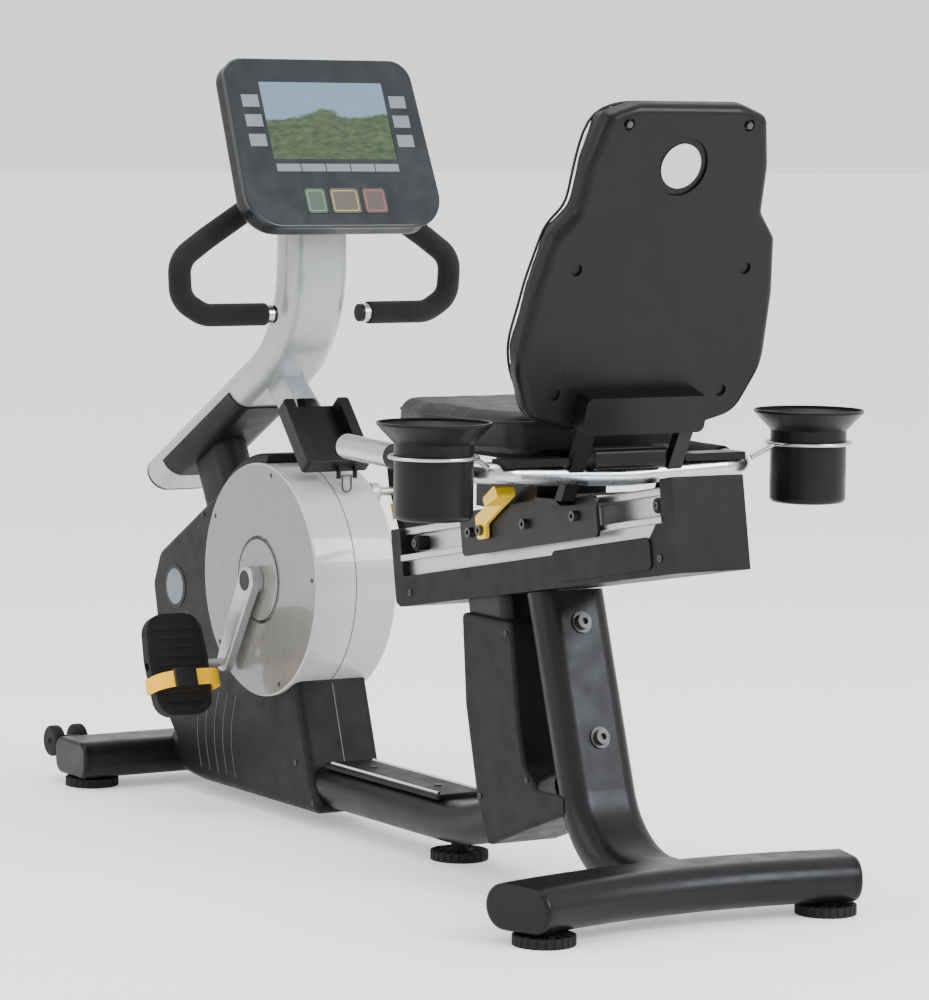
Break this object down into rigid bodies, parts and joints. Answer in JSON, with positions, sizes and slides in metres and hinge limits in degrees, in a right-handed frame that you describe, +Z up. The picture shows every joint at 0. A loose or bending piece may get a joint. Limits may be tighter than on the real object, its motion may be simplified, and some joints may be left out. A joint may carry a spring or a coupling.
{
  "type": "recumbent exercise bike",
  "caption": "Recumbent exercise bike with sliding seat, belt-driven flywheel, strapped pedals, console, loop handlebars and side handles with drink cups.",
  "frame": {"origin": "on the floor, under the middle of the bike's length and width", "axes": "+X forward from the seat towards the console, +Y to the rider's left, +Z up"},
  "size_m": [1.6805, 0.8038, 1.2244],
  "materials": {
    "frame_black": "satin black powder coat",
    "frame_silver": "satin silver powder coat",
    "cover_charcoal": "fine textured moulding",
    "cover_silver": "painted silver gloss",
    "cover_black": "satin moulding",
    "console_gloss": "gloss black",
    "screen_glass": "clear",
    "circuit_board": "solder mask",
    "membrane": "printed film",
    "key_green": "rubber key",
    "key_yellow": "rubber key",
    "key_red": "rubber key",
    "foam_grip": "closed-cell foam",
    "rubber_black": "moulded rubber",
    "rail_aluminium": "anodised",
    "steel_zinc": "zinc plated",
    "steel_dark": "black oxide",
    "tube_chrome": "satin chrome",
    "crank_alloy": "painted silver",
    "flywheel_iron": "machined",
    "belt_rubber": "ribbed belt",
    "glide_nylon": "natural nylon",
    "strap_yellow": "soft moulding",
    "lever_yellow": "moulded",
    "vinyl_black": "upholstery vinyl over foam"
  },
  "bodies": {
    "frame": {"main_tube": "frame_black", "rear_frame": "frame_black", "front_stabiliser": "frame_black", "drive_frame": "frame_black", "end_caps": "cover_black", "levelling_feet": "rubber_black", "upright_cover": "cover_charcoal", "step_plate": "cover_charcoal", "crank_bearings": "steel_zinc", "drum_cover_left": "cover_silver", "drum_cover_right": "cover_silver", "casing_left": "cover_charcoal", "casing_right": "cover_charcoal", "mast": "frame_silver", "neck_covers": "cover_charcoal", "accessory_tray": "cover_black", "console_bracket": "frame_black", "console_back": "cover_black", "console_bezel": "console_gloss", "screen_lens": "screen_glass", "electronics_boards": "circuit_board", "membrane_keys": "membrane", "loop_handle_tubes": "tube_chrome", "loop_handle_grips": "foam_grip", "rail_beam": "rail_aluminium", "rail_cover_halves": "cover_charcoal", "rail_bumpers": "rubber_black", "resistance_unit": "steel_zinc", "drive_belt": "belt_rubber", "frame_fasteners": "steel_dark"},
    "crank": {"crank_axle": "steel_zinc", "crank_arm_left": "crank_alloy", "crank_arm_right": "crank_alloy", "crank_hub_discs": "cover_silver", "drive_pulley": "crank_alloy"},
    "flywheel": {"flywheel": "flywheel_iron"},
    "pedal_left": {"pedal_left": "rubber_black", "pedal_strap_left": "strap_yellow"},
    "pedal_right": {"pedal_right": "rubber_black", "pedal_strap_right": "strap_yellow"},
    "wheels_left": {"transport_wheels_left": "rubber_black"},
    "wheels_right": {"transport_wheels_right": "rubber_black"},
    "seat": {"seat_frame": "frame_black", "carriage_glides": "glide_nylon", "seat_pan": "cover_black", "seat_cushion": "vinyl_black", "backrest_shell": "cover_black", "backrest_pad": "vinyl_black", "seat_shroud": "cover_black", "handle_tube": "tube_chrome", "handle_grips": "foam_grip", "sensor_sleeves": "tube_chrome", "drink_cups": "cover_black", "seat_fasteners": "steel_dark"},
    "lever": {"seat_lever": "lever_yellow"},
    "latch": {"latch_pin": "steel_zinc"},
    "tray_loop": {"tray_loop": "steel_dark"},
    "key_green": {"key_green": "key_green"},
    "key_yellow": {"key_yellow": "key_yellow"},
    "key_red": {"key_red": "key_red"}
  },
  "joints": [
    {"name": "crank_spin", "type": "hinge", "parent": "frame", "child": "crank", "pos_m": [0.35, 0, 0.383], "axis": [0, 1, 0], "continuous": true},
    {"name": "flywheel_spin", "type": "hinge", "parent": "frame", "child": "flywheel", "pos_m": [0.6, 0, 0.2], "axis": [0, 1, 0], "continuous": true},
    {"name": "pedal_left_spin", "type": "hinge", "parent": "crank", "child": "pedal_left", "pos_m": [0.43125, 0, 0.23939], "axis": [0, 1, 0], "continuous": true},
    {"name": "pedal_right_spin", "type": "hinge", "parent": "crank", "child": "pedal_right", "pos_m": [0.26875, 0, 0.52661], "axis": [0, 1, 0], "continuous": true},
    {"name": "wheels_left_spin", "type": "hinge", "parent": "frame", "child": "wheels_left", "pos_m": [0.814, 0.195, 0.066], "axis": [0, 1, 0], "continuous": true},
    {"name": "wheels_right_spin", "type": "hinge", "parent": "frame", "child": "wheels_right", "pos_m": [0.814, -0.195, 0.066], "axis": [0, 1, 0], "continuous": true},
    {"name": "seat_slide", "type": "slide", "parent": "frame", "child": "seat", "axis": [0.9851, 0, -0.1719], "range_m": [-0.16, 0.185]},
    {"name": "seat_lever_turn", "type": "hinge", "parent": "seat", "child": "lever", "pos_m": [-0.34725, 0.077, 0.52783], "axis": [0, 1, 0], "range_deg": [0, 18], "stiffness_Nm_per_rad": 0.8, "springref_deg": -11.46},
    {"name": "latch_slide", "type": "slide", "parent": "seat", "child": "latch", "axis": [0, -1, 0], "range_m": [0, 0.008]},
    {"name": "tray_loop_swing", "type": "hinge", "parent": "frame", "child": "tray_loop", "pos_m": [0.226, -0.018, 0.5595], "axis": [0, 1, 0], "range_deg": [-12, 60]},
    {"name": "key_green_press", "type": "slide", "parent": "frame", "child": "key_green", "axis": [0.9114, 0, -0.4115], "range_m": [0, 0.0012], "stiffness_N_per_m": 400, "springref_m": -0.001},
    {"name": "key_yellow_press", "type": "slide", "parent": "frame", "child": "key_yellow", "axis": [0.9114, 0, -0.4115], "range_m": [0, 0.0012], "stiffness_N_per_m": 400, "springref_m": -0.001},
    {"name": "key_red_press", "type": "slide", "parent": "frame", "child": "key_red", "axis": [0.9114, 0, -0.4115], "range_m": [0, 0.0012], "stiffness_N_per_m": 400, "springref_m": -0.001}
  ],
  "couplings": [
    {"joint": "flywheel_spin", "follows": "crank_spin", "ratio": 5.6818},
    {"joint": "latch_slide", "follows": "seat_lever_turn", "m_per_rad": 0.0254}
  ]
}
